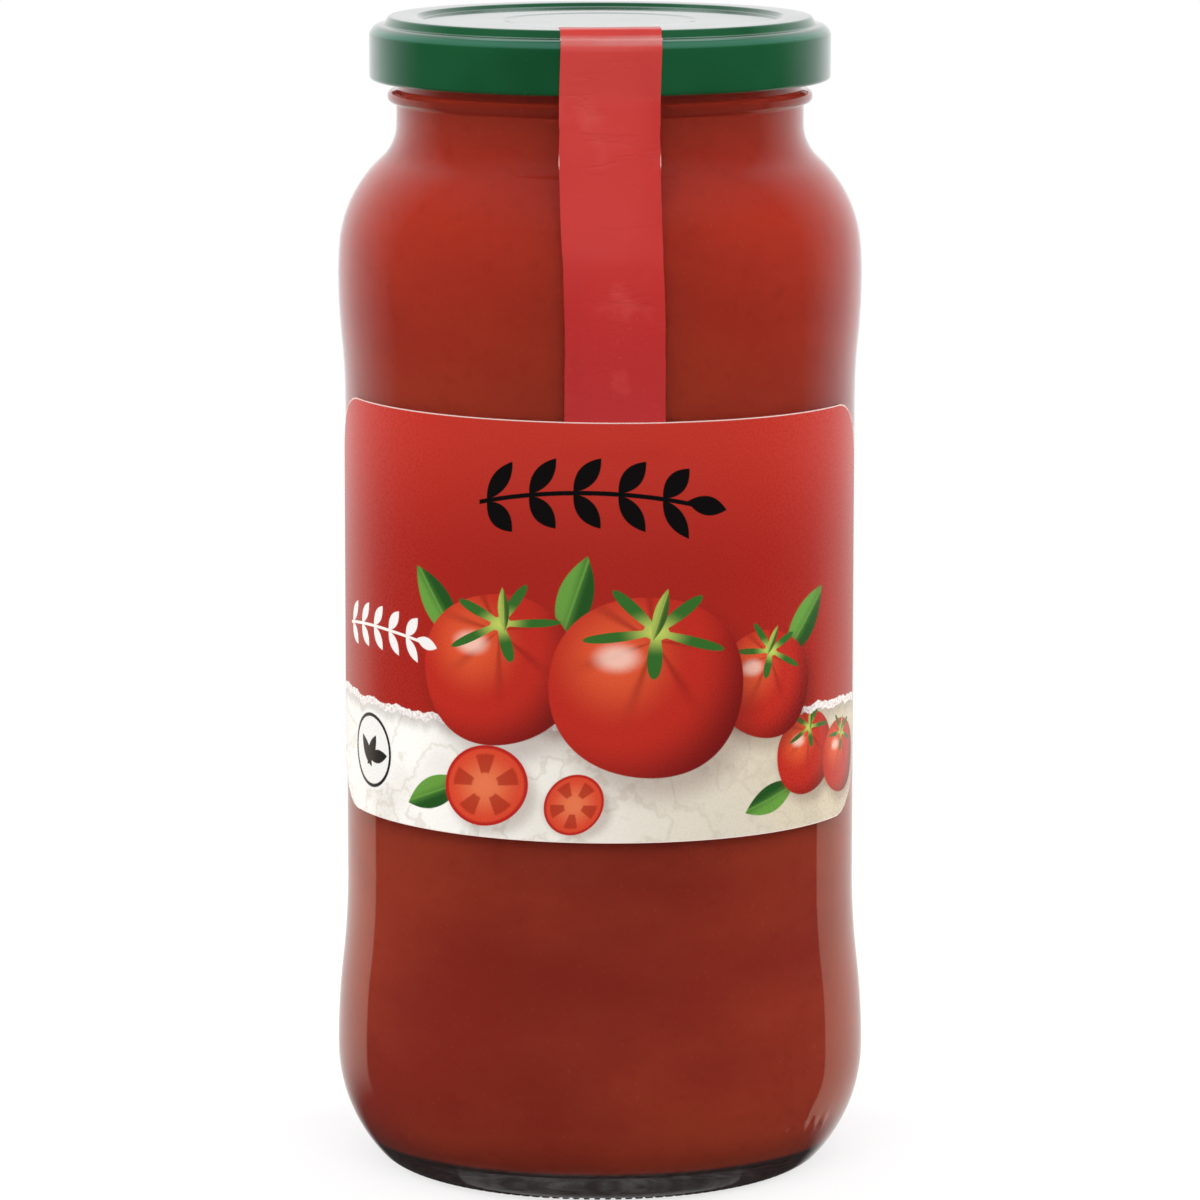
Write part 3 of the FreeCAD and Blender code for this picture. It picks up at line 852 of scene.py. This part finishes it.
def strip_finish():
    finish, tree, shader = new_finish("red_seal_paper")
    place = object_place(tree)
    drift = cloud(tree, place, 90, 2, (1, 1, 0.4))
    patch = cloud(tree, place, 160, 3)
    fibre = cloud(tree, place, 2200, 3)
    crease = apart(tree, cloud(tree, place, 150, 3, (0.4, 0.4, 1.5)), 0.5)
    creased = times(tree, spread(tree, crease, 0.03, 0.0), spread(tree, patch, 0.45, 0.65))
    height = part_of(tree, place, "Z")
    # Painted light: the print gets lighter towards the top, and below the lid's edge it is painted darker
    # than on the skirt, to offset the stronger lamp light there.
    painted_light_from_above = spread(tree, height, STRIP_END, STRIP_MIDDLE)
    print_with_painted_light = over(tree, tint(184, 38, 40), tint(196, 37, 30), painted_light_from_above)
    print_with_painted_light = over(tree, print_with_painted_light, tint(200, 56, 50), spread(tree, height, *STRIP_ON_SKIRT))
    colour = over(tree, print_with_painted_light, tint(164, 32, 36), spread(tree, drift, 0.45, 0.8, 0.0, 0.4))
    colour = over(tree, colour, tint(208, 72, 66), spread(tree, patch, 0.56, 0.76, 0.0, 0.4))
    # Painted shade: the creases are a little darker.
    colour = over(tree, colour, tint(160, 36, 36), times(tree, creased, 0.12))
    colour = over(tree, colour, tint(206, 84, 80), spread(tree, fibre, 0.62, 0.8, 0.0, 0.3))
    # Painted highlight: a pale band where the strip bends over the lid's shoulder, its strength varying
    # with the patches, for the reflection of the light from above.
    from_shoulder = apart(tree, height, (lid_panel_z - 0.25) * MM)
    strip_painted_highlight = spread(tree, from_shoulder, 0.9 * MM, 0.3 * MM, 0.0, 0.6)
    strip_painted_highlight = times(tree, strip_painted_highlight, spread(tree, patch, 0.3, 0.65, 0.6, 1.0))
    colour = over(tree, colour, tint(196, 142, 138), strip_painted_highlight)
    fill_in(tree, shader, {
        "Base Color": colour,
        "Roughness": spread(tree, fibre, 0.2, 0.8, 0.3, 0.42),
        "Specular IOR Level": 0.5,
    })
    dents = calc(tree, "MULTIPLY_ADD", creased, -0.5, calc(tree, "MULTIPLY_ADD", fibre, 0.12, patch))
    relief(tree, shader, dents, 0.35, 0.00012)
    return finish


# --- Label print: millimetres on the flat label, across from its middle and up from its lower edge ---

INK_EDGE = 0.09
SPRIG_STEP = 1.25               # the space between leaf pairs, in leaf lengths
SPRIG_LEAF = (0.62, 0.27)       # half the length and width of its leaves, in leaf lengths
SPRIG_DROOP = -0.008
SLICE_FLATNESS = 0.86
TOMATO_FLATNESS = 0.9
TEAR_UP = 15.9
TEAR_RISE = 2.6
PAPER_RISE = -1.9


def own_place(tree, sheet, place, size, turn=0.0):
    """Where the sheet's points lie in a motif's own frame, whose edge is at 1."""
    across = minus(tree, sheet[0], place[0])
    up = minus(tree, sheet[1], place[1])
    cos, sin = math.cos(math.radians(turn)), math.sin(math.radians(turn))
    x = calc(tree, "MULTIPLY_ADD", up, sin / size[0], times(tree, across, cos / size[0]))
    y = calc(tree, "MULTIPLY_ADD", up, cos / size[1], times(tree, across, -sin / size[1]))
    return x, y


def shifted(place, size, across, up):
    return place[0] + across * size, place[1] + up * size


def away(tree, x, y):
    """Distance from a motif's middle."""
    return calc(tree, "SQRT", calc(tree, "MULTIPLY_ADD", x, x, times(tree, y, y)))


def inside(tree, reach, size, soft=INK_EDGE):
    return spread(tree, reach, 1 + soft / size, 1 - soft / size)


def leaf_reach(tree, x, y):
    """How far out a point is in a pointed leaf, which ends at 1."""
    return calc(tree, "MULTIPLY_ADD", x, x, calc(tree, "ABSOLUTE", y))


def print_shadow(tree, colour, sheet, place, size, shade, depth):
    x, y = own_place(tree, sheet, place, size)
    return over(tree, colour, shade, spread(tree, away(tree, x, y), 1.25, 0.85, 0.0, depth))


def print_leaf(tree, colour, sheet, place, size, turn, dark, light):
    x, y = own_place(tree, sheet, place, size, turn)
    reach = leaf_reach(tree, x, y)
    green = over(tree, dark, light, spread(tree, y, -0.5, 0.5))
    rib = calc(tree, "ABSOLUTE", calc(tree, "MULTIPLY_ADD", x, 0.12, y))
    green = over(tree, green, light, spread(tree, rib, 0.1, 0.04, 0.0, 0.8))
    return over(tree, colour, green, inside(tree, reach, size[1]))


def print_tomato(tree, colour, sheet, place, size, turn):
    """A plain round tomato with a soft shadow, a highlight and a star of sepals."""
    body = (size, size * TOMATO_FLATNESS)
    under = shifted(place, size, 0.1, -0.16)
    colour = print_shadow(tree, colour, sheet, under, body, tint(96, 30, 22), 0.4)
    x, y = own_place(tree, sheet, place, body, turn)
    angle = calc(tree, "ARCTAN2", y, x)
    lobes = calc(tree, "MULTIPLY_ADD", calc(tree, "COSINE", times(tree, angle, 4.0)), -0.014, 1.0)
    reach = calc(tree, "DIVIDE", away(tree, x, y), lobes)
    lit_x, lit_y = own_place(tree, sheet, shifted(place, size, -0.32, 0.3), (size, size))
    from_light = away(tree, lit_x, lit_y)
    skin = over(tree, tint(226, 86, 44), tint(192, 38, 22), spread(tree, from_light, 0.1, 0.75))
    skin = over(tree, skin, tint(118, 14, 12), spread(tree, from_light, 0.8, 1.45))
    crown_x, crown_y = own_place(tree, sheet, shifted(place, size, 0.04, 0.46), (size, size), turn)
    crown_angle = calc(tree, "ARCTAN2", crown_y, crown_x)
    fold = calc(tree, "ABSOLUTE", calc(tree, "SINE", times(tree, crown_angle, 3.5)))
    fading = spread(tree, away(tree, crown_x, crown_y), 1.0, 0.25)
    folded = times(tree, spread(tree, fold, 0.55, 0.0, 0.0, 0.5), fading)
    skin = over(tree, skin, tint(128, 16, 12), folded)
    shine = spread(tree, away(tree, lit_x, times(tree, lit_y, 1.6)), 0.3, 0.08, 0.0, 0.75)
    skin = over(tree, skin, tint(255, 214, 196), shine)
    colour = over(tree, colour, skin, inside(tree, reach, size))
    x, y = own_place(tree, sheet, shifted(place, size, 0.06, 0.55), (size, size * 0.62), turn)
    star_angle = calc(tree, "MULTIPLY_ADD", calc(tree, "ARCTAN2", y, x), 2.5, 0.7)
    arm = calc(tree, "POWER", calc(tree, "ABSOLUTE", calc(tree, "COSINE", star_angle)), 7.0)
    star = calc(tree, "DIVIDE", away(tree, x, y), calc(tree, "MULTIPLY_ADD", arm, 0.62, 0.13))
    sepal = over(tree, tint(196, 210, 96), tint(52, 108, 38), spread(tree, away(tree, x, y), 0.0, 0.4))
    colour = over(tree, colour, sepal, inside(tree, star, size * 0.3))
    stalk = (size * 0.26, size * 0.07)
    return print_leaf(
        tree, colour, sheet, shifted(place, size, 0.1, 0.72), stalk, 80 + turn,
        tint(60, 96, 36), tint(170, 190, 84),
    )


def print_slice(tree, colour, sheet, place, size, turn):
    """A cut tomato: skin, flesh and five pockets of seeds."""
    body = (size, size * SLICE_FLATNESS)
    under = shifted(place, size, 0.12, -0.16)
    colour = print_shadow(tree, colour, sheet, under, body, tint(110, 70, 56), 0.35)
    x, y = own_place(tree, sheet, place, body, turn)
    reach = away(tree, x, y)
    colour = over(tree, colour, tint(188, 30, 20), inside(tree, reach, size))
    flesh = over(tree, tint(236, 120, 76), tint(222, 70, 40), spread(tree, reach, 0.1, 0.9))
    colour = over(tree, colour, flesh, spread(tree, reach, 0.95, 0.88))
    pockets = calc(tree, "COSINE", times(tree, calc(tree, "ARCTAN2", y, x), 5.0))
    ring = spread(tree, apart(tree, reach, 0.55), 0.27, 0.2)
    wet = times(tree, ring, spread(tree, pockets, -0.1, 0.25))
    return over(tree, colour, tint(176, 44, 18), times(tree, wet, 0.8))


def print_sprig(tree, colour, sheet, place, pairs, leaf_length, ink):
    """A sprig of paired leaves: a leaf repeated along the stem and mirrored in it."""
    step = leaf_length * SPRIG_STEP
    half_length = step * pairs / 2
    leaf_size = (leaf_length * SPRIG_LEAF[0], leaf_length * SPRIG_LEAF[1])
    across = minus(tree, sheet[0], place[0])
    rise = calc(tree, "MULTIPLY_ADD", times(tree, across, across), SPRIG_DROOP, place[1])
    mirrored = apart(tree, sheet[1], rise)
    along = calc(tree, "WRAP", across, step / 2, -step / 2)
    leaf = own_place(tree, (along, mirrored), (0.0, leaf_length / 2), leaf_size, 52)
    within = spread(tree, calc(tree, "ABSOLUTE", across), half_length, half_length - 0.1)
    leaves = times(tree, inside(tree, leaf_reach(tree, *leaf), leaf_size[1]), within)
    stem = times(tree, spread(tree, mirrored, leaf_length * 0.08, leaf_length * 0.05), within)
    colour = over(tree, colour, ink, calc(tree, "MAXIMUM", leaves, stem))
    tip = (place[0] + half_length + leaf_length * 0.3, place[1] + SPRIG_DROOP * half_length ** 2 - 0.1)
    return print_leaf(tree, colour, sheet, tip, leaf_size, -14, ink, ink)


def print_roundel(tree, colour, sheet, place, size):
    """A white disc with a thin black ring and a plain leaf in it."""
    x, y = own_place(tree, sheet, place, (size, size))
    reach = away(tree, x, y)
    colour = over(tree, colour, tint(244, 242, 238), inside(tree, reach, size))
    ring = spread(tree, apart(tree, reach, 0.88), 0.06, 0.03)
    colour = over(tree, colour, tint(26, 22, 20), ring)
    black = tint(30, 26, 24)
    for turn, place_in in ((60, (0.0, 0.0)), (10, (0.3, -0.12)), (125, (-0.26, -0.05))):
        leaf = own_place(tree, sheet, shifted(place, size, *place_in), (size * 0.46, size * 0.17), turn)
        colour = over(tree, colour, black, inside(tree, leaf_reach(tree, *leaf), size * 0.17))
    return colour


def label_finish():
    finish, tree, shader = new_finish("printed_label_paper")
    map_uv = tree.nodes.new("ShaderNodeUVMap").outputs["UV"]
    across = times(tree, minus(tree, part_of(tree, map_uv, "X"), 0.5), LABEL_WIDTH)
    up = times(tree, part_of(tree, map_uv, "Y"), LABEL_HEIGHT)
    sheet = (across, up)
    point = put(tree, "ShaderNodeCombineXYZ", {"X": across, "Y": up}).outputs["Vector"]
    fibre = cloud(tree, point, 2.2, 3)

    # Two fields with a torn white edge between them
    # Painted light: the red field is lighter towards the top, where more light falls.
    red = over(tree, tint(168, 30, 18), tint(193, 47, 33), spread(tree, up, 36, 60))
    pale = over(tree, tint(255, 252, 246), tint(217, 204, 178), spread(tree, across, -30, 40))
    shaded = spread(tree, cloud(tree, point, 0.07, 2), 0.45, 0.75, 0.0, 0.5)
    pale = over(tree, pale, tint(218, 210, 198), shaded)
    vein = apart(tree, cloud(tree, point, 0.11, 4), 0.5)
    pale = over(tree, pale, tint(196, 182, 164), spread(tree, vein, 0.03, 0.0, 0.0, 0.35))
    line_across = put(tree, "ShaderNodeCombineXYZ", {"X": across}).outputs["Vector"]
    second_line = put(tree, "ShaderNodeCombineXYZ", {"X": across, "Y": 7.0}).outputs["Vector"]
    tear = calc(tree, "MULTIPLY_ADD", cloud(tree, line_across, 0.3, 5), TEAR_RISE, TEAR_UP)
    tear = calc(tree, "MULTIPLY_ADD", calc(tree, "SINE", times(tree, across, 0.07)), 0.5, tear)
    above_tear = minus(tree, up, tear)
    border = calc(tree, "MULTIPLY_ADD", cloud(tree, second_line, 0.5, 4), PAPER_RISE, -0.1)
    above_border = minus(tree, above_tear, border)
    shade = spread(tree, above_border, -2.2, 0.0, 0.0, 0.4)
    colour = over(tree, pale, tint(120, 104, 96), shade)

    # Motifs that lie on the lower field
    basil = (tint(34, 84, 30), tint(104, 158, 62))
    colour = print_leaf(tree, colour, sheet, (-24.0, 5.6), (5.6, 2.2), 24, *basil)
    colour = print_leaf(tree, colour, sheet, (27.5, 5.0), (5.0, 2.0), 200, *basil)
    colour = print_tomato(tree, colour, sheet, (35.0, 10.6), 6.6, 10)
    colour = print_tomato(tree, colour, sheet, (45.0, 8.8), 6.0, -12)

    # The torn edge and the field above it
    torn = over(tree, tint(222, 206, 200), tint(250, 246, 242), spread(tree, fibre, 0.35, 0.6))
    colour = over(tree, colour, torn, spread(tree, above_border, -0.08, 0.08))
    colour = over(tree, colour, red, spread(tree, above_tear, -0.08, 0.08))

    # Motifs that lie over both fields
    for place, turn in (((-23.5, 32.5), 128), ((-2.6, 34.5), 74), ((34.0, 29.5), 48)):
        colour = print_leaf(tree, colour, sheet, place, (6.4, 2.5), turn, *basil)
    colour = print_tomato(tree, colour, sheet, (-14.0, 24.0), 12.0, 14)
    colour = print_tomato(tree, colour, sheet, (26.5, 21.4), 8.6, -16)
    colour = print_tomato(tree, colour, sheet, (8.0, 22.0), 14.4, -6)
    colour = print_slice(tree, colour, sheet, (-15.5, 7.4), 6.6, 20)
    colour = print_slice(tree, colour, sheet, (-2.5, 5.4), 4.6, 50)
    colour = print_roundel(tree, colour, sheet, (-38.5, 9.4), 5.8)
    colour = print_sprig(tree, colour, sheet, (-1.0, 49.5), 5, 5.0, tint(14, 10, 10))
    colour = print_sprig(tree, colour, sheet, (-36.5, 27.5), 5, 3.2, tint(246, 240, 236))

    # The cut edge shows the white paper.
    beyond = []
    for from_middle, half in (
        (calc(tree, "ABSOLUTE", across), LABEL_WIDTH / 2),
        (apart(tree, up, LABEL_HEIGHT / 2), LABEL_HEIGHT / 2),
    ):
        out = minus(tree, from_middle, half - LABEL_CORNER_R)
        beyond.append(calc(tree, "MAXIMUM", out, 0.0))
    from_edge = minus(tree, LABEL_CORNER_R, away(tree, *beyond))
    colour = over(tree, colour, tint(244, 222, 214), spread(tree, from_edge, 0.2, 0.08, 0.0, 0.85))

    fill_in(tree, shader, {
        "Base Color": colour,
        "Roughness": spread(tree, fibre, 0.2, 0.8, 0.24, 0.32),
        "Specular IOR Level": 0.45,
    })
    relief(tree, shader, fibre, 0.035, 0.00005)
    return finish


def dress(piece, node, slot, *finishes):
    """Gives a piece its finishes, its body and the node it stands for; its slot is not used."""
    for finish in finishes:
        piece.data.materials.append(finish)
    if node:
        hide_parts(node)
    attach(piece, "root")


jar = make_jar()
threads = make_threads()
sauce = make_sauce()
lid = make_lid()
strip = make_strip()
label = make_label()

clear_glass = glass_finish()
paper_edge = paper_edge_finish()
dress(jar, "glass_jar", "clear_glass", clear_glass)
for ridge in threads:
    dress(ridge, None, "clear_glass", clear_glass)
dress(sauce, "sauce", "tomato_sauce", sauce_finish())
dress(lid, "lid", "green_lid", lid_finish())
dress(strip, "seal_strip", "seal_paper", strip_finish(), paper_edge)
dress(label, "label", "label_paper", label_finish(), paper_edge)


# --- Studio ---

FLOOR_R = 0.3
FLOOR_PALENESS = 0.3
RING_WALL_R = 0.3
RING_WALL_TOP = 0.072
RING_WALL_FOOT = -0.4
CARD_FADE_Z = 0.014             # the wall fades away from here up
CARD_EDGE = (-0.06, 0.1235)     # where the card starts in depth: slope across, and middle
CARD_FOOT = (-0.17, -0.115)     # where it starts in height
CARD_EDGE_BLUR = 0.004
CARD_FOOT_BLUR = 0.04
CARD_LIGHT = 0.85
BACKDROP_LIGHT = 1.0
ROOM_LIGHT = 0.05              # what gloss shows of the room in front
OVERHEAD_LIGHT = 0.22          # what gloss shows of the ceiling
SKYLIGHT = 1.3                 # a bright patch over and behind the jar, for gloss alone
FILL_FROM_ABOVE = 0.8          # plain light from all round
FILL_FROM_BELOW = 0.12
DARK_BELOW = 0.04              # what clear glass shows of the room below
LAMP_AIM = Vector((0, 0, 0.12))
CAMERA_PLACE = (0, -0.93795, 0.23264)
CAMERA_TILT = 80.856
CAMERA_LENS = 196.79


def make_floor():
    bpy.ops.object.select_all(action="DESELECT")
    bpy.ops.mesh.primitive_circle_add(vertices=96, radius=FLOOR_R, fill_type="NGON")
    floor = start_piece("studio_floor")
    choose_all()
    bpy.ops.mesh.inset(thickness=FLOOR_R / 2)
    finish_piece(floor)
    finish, tree, shader = new_finish("pale_floor")
    seen = tree.nodes.new("ShaderNodeLightPath").outputs["Is Camera Ray"]
    fill_in(tree, shader, {
        "Base Color": (FLOOR_PALENESS, FLOOR_PALENESS, FLOOR_PALENESS, 1),
        "Roughness": 0.9,
        "Specular IOR Level": 0.0,
        "Emission Color": (1, 1, 1, 1),
        "Emission Strength": times(tree, seen, 1.0 - FLOOR_PALENESS),
    })
    floor.data.materials.append(finish)
    floor.visible_glossy = False
    floor.visible_transmission = False


def make_reflector():
    """A low round wall that only gloss shows: dark in front, and a warm card behind the foot of the jar."""
    bpy.ops.object.select_all(action="DESELECT")
    bpy.ops.mesh.primitive_plane_add(size=1)
    wall = start_piece("studio_reflector")
    choose_all()
    bpy.ops.mesh.merge(type="CENTER")
    bpy.ops.transform.translate(value=(0, -RING_WALL_R, RING_WALL_FOOT))
    rise = RING_WALL_TOP - RING_WALL_FOOT
    bpy.ops.mesh.extrude_region_move(TRANSFORM_OT_translate={"value": (0, 0, rise)})
    turn_section(96)
    finish_piece(wall)
    finish, tree, shader = new_finish("warm_card")
    place = put(tree, "ShaderNodeSeparateXYZ", {"Vector": object_place(tree)}).outputs
    card_edge = calc(tree, "MULTIPLY_ADD", place["X"], *CARD_EDGE)
    card_foot = calc(tree, "MULTIPLY_ADD", place["X"], *CARD_FOOT)
    behind = spread(tree, minus(tree, place["Y"], card_edge), -CARD_EDGE_BLUR, CARD_EDGE_BLUR)
    above = spread(tree, minus(tree, place["Z"], card_foot), -CARD_FOOT_BLUR, CARD_FOOT_BLUR)
    share = times(tree, behind, above)
    warm = over(tree, (1.0, 0.82, 0.66, 1), (1.0, 0.94, 0.88, 1), spread(tree, place["Y"], 0.12, 0.28))
    fill_in(tree, shader, {
        "Base Color": (0, 0, 0, 1),
        "Specular IOR Level": 0.0,
        "Emission Color": over(tree, (1, 1, 1, 1), warm, share),
        "Emission Strength": spread(tree, share, 0.0, 1.0, ROOM_LIGHT, CARD_LIGHT, "LINEAR"),
        "Alpha": spread(tree, place["Z"], CARD_FADE_Z, RING_WALL_TOP, 1.0, 0.0),
    })
    wall.data.materials.append(finish)
    for kind in ("camera", "diffuse", "transmission", "shadow", "volume_scatter"):
        setattr(wall, "visible_" + kind, False)


def make_air():
    world = bpy.data.worlds.new("studio_air")
    bpy.context.scene.world = world
    world.use_nodes = True
    tree = world.node_tree
    air = tree.nodes["Background"]
    rays = tree.nodes.new("ShaderNodeLightPath").outputs
    way = tree.nodes.new("ShaderNodeTexCoord").outputs["Generated"]
    x, y, z = put(tree, "ShaderNodeSeparateXYZ", {"Vector": way}).outputs
    fill = spread(tree, z, -1.0, 0.3, FILL_FROM_BELOW, FILL_FROM_ABOVE)
    in_gloss = spread(tree, y, 0.2, 0.85, ROOM_LIGHT, BACKDROP_LIGHT, "LINEAR")
    in_gloss = calc(tree, "MAXIMUM", in_gloss, spread(tree, z, 0.35, 0.95, 0.0, OVERHEAD_LIGHT))
    in_glass = times(tree, in_gloss, spread(tree, z, -0.15, 0.05, DARK_BELOW, 1.0))
    skylight = times(tree, spread(tree, y, 0.3, 0.42), spread(tree, z, 0.66, 0.8, 0.0, SKYLIGHT))
    sideways = calc(tree, "ABSOLUTE", x)
    skylight = times(tree, skylight, spread(tree, sideways, 0.28, 0.42, 1.0, 0.0))
    in_gloss = calc(tree, "ADD", in_gloss, skylight)
    scattered = calc(tree, "GREATER_THAN", rays["Diffuse Depth"], 0.5)
    strength = in_glass
    for share, light in (
        (rays["Is Glossy Ray"], in_gloss), (scattered, fill), (rays["Is Camera Ray"], BACKDROP_LIGHT),
    ):
        strength = put(
            tree, "ShaderNodeMix", {0: share, 2: strength, 3: light}, data_type="FLOAT"
        ).outputs[0]
    fill_in(tree, air, {"Color": (1, 1, 1, 1), "Strength": strength})


def soft_lamp(name, place, width, height, power):
    """A lamp that gloss doesn't show, aimed at the upper half of the jar."""
    data = bpy.data.lights.new(name, "AREA")
    data.shape = "RECTANGLE"
    data.size = width
    data.size_y = height
    data.energy = power
    lamp = bpy.data.objects.new(name, data)
    bpy.context.scene.collection.objects.link(lamp)
    lamp.location = place
    lamp.rotation_euler = (LAMP_AIM - Vector(place)).to_track_quat("-Z", "Y").to_euler()
    lamp.visible_glossy = False
    lamp.visible_camera = False


make_floor()
make_reflector()
make_air()
soft_lamp("front_softbox", (0.0, -0.75, 0.55), 0.8, 0.5, 3.6)
soft_lamp("left_softbox", (-0.75, 0.25, 0.3), 0.4, 0.6, 4.1)
soft_lamp("right_softbox", (0.75, 0.25, 0.3), 0.4, 0.6, 4.1)

lens = bpy.data.cameras.new("studio_camera")
lens.lens = CAMERA_LENS
lens.sensor_width = 36.0
lens.clip_start = 0.05
camera = bpy.data.objects.new("studio_camera", lens)
bpy.context.scene.collection.objects.link(camera)
camera.location = CAMERA_PLACE
camera.rotation_euler = (math.radians(CAMERA_TILT), 0, 0)
bpy.context.scene.camera = camera
bpy.context.scene.view_settings.view_transform = "Standard"
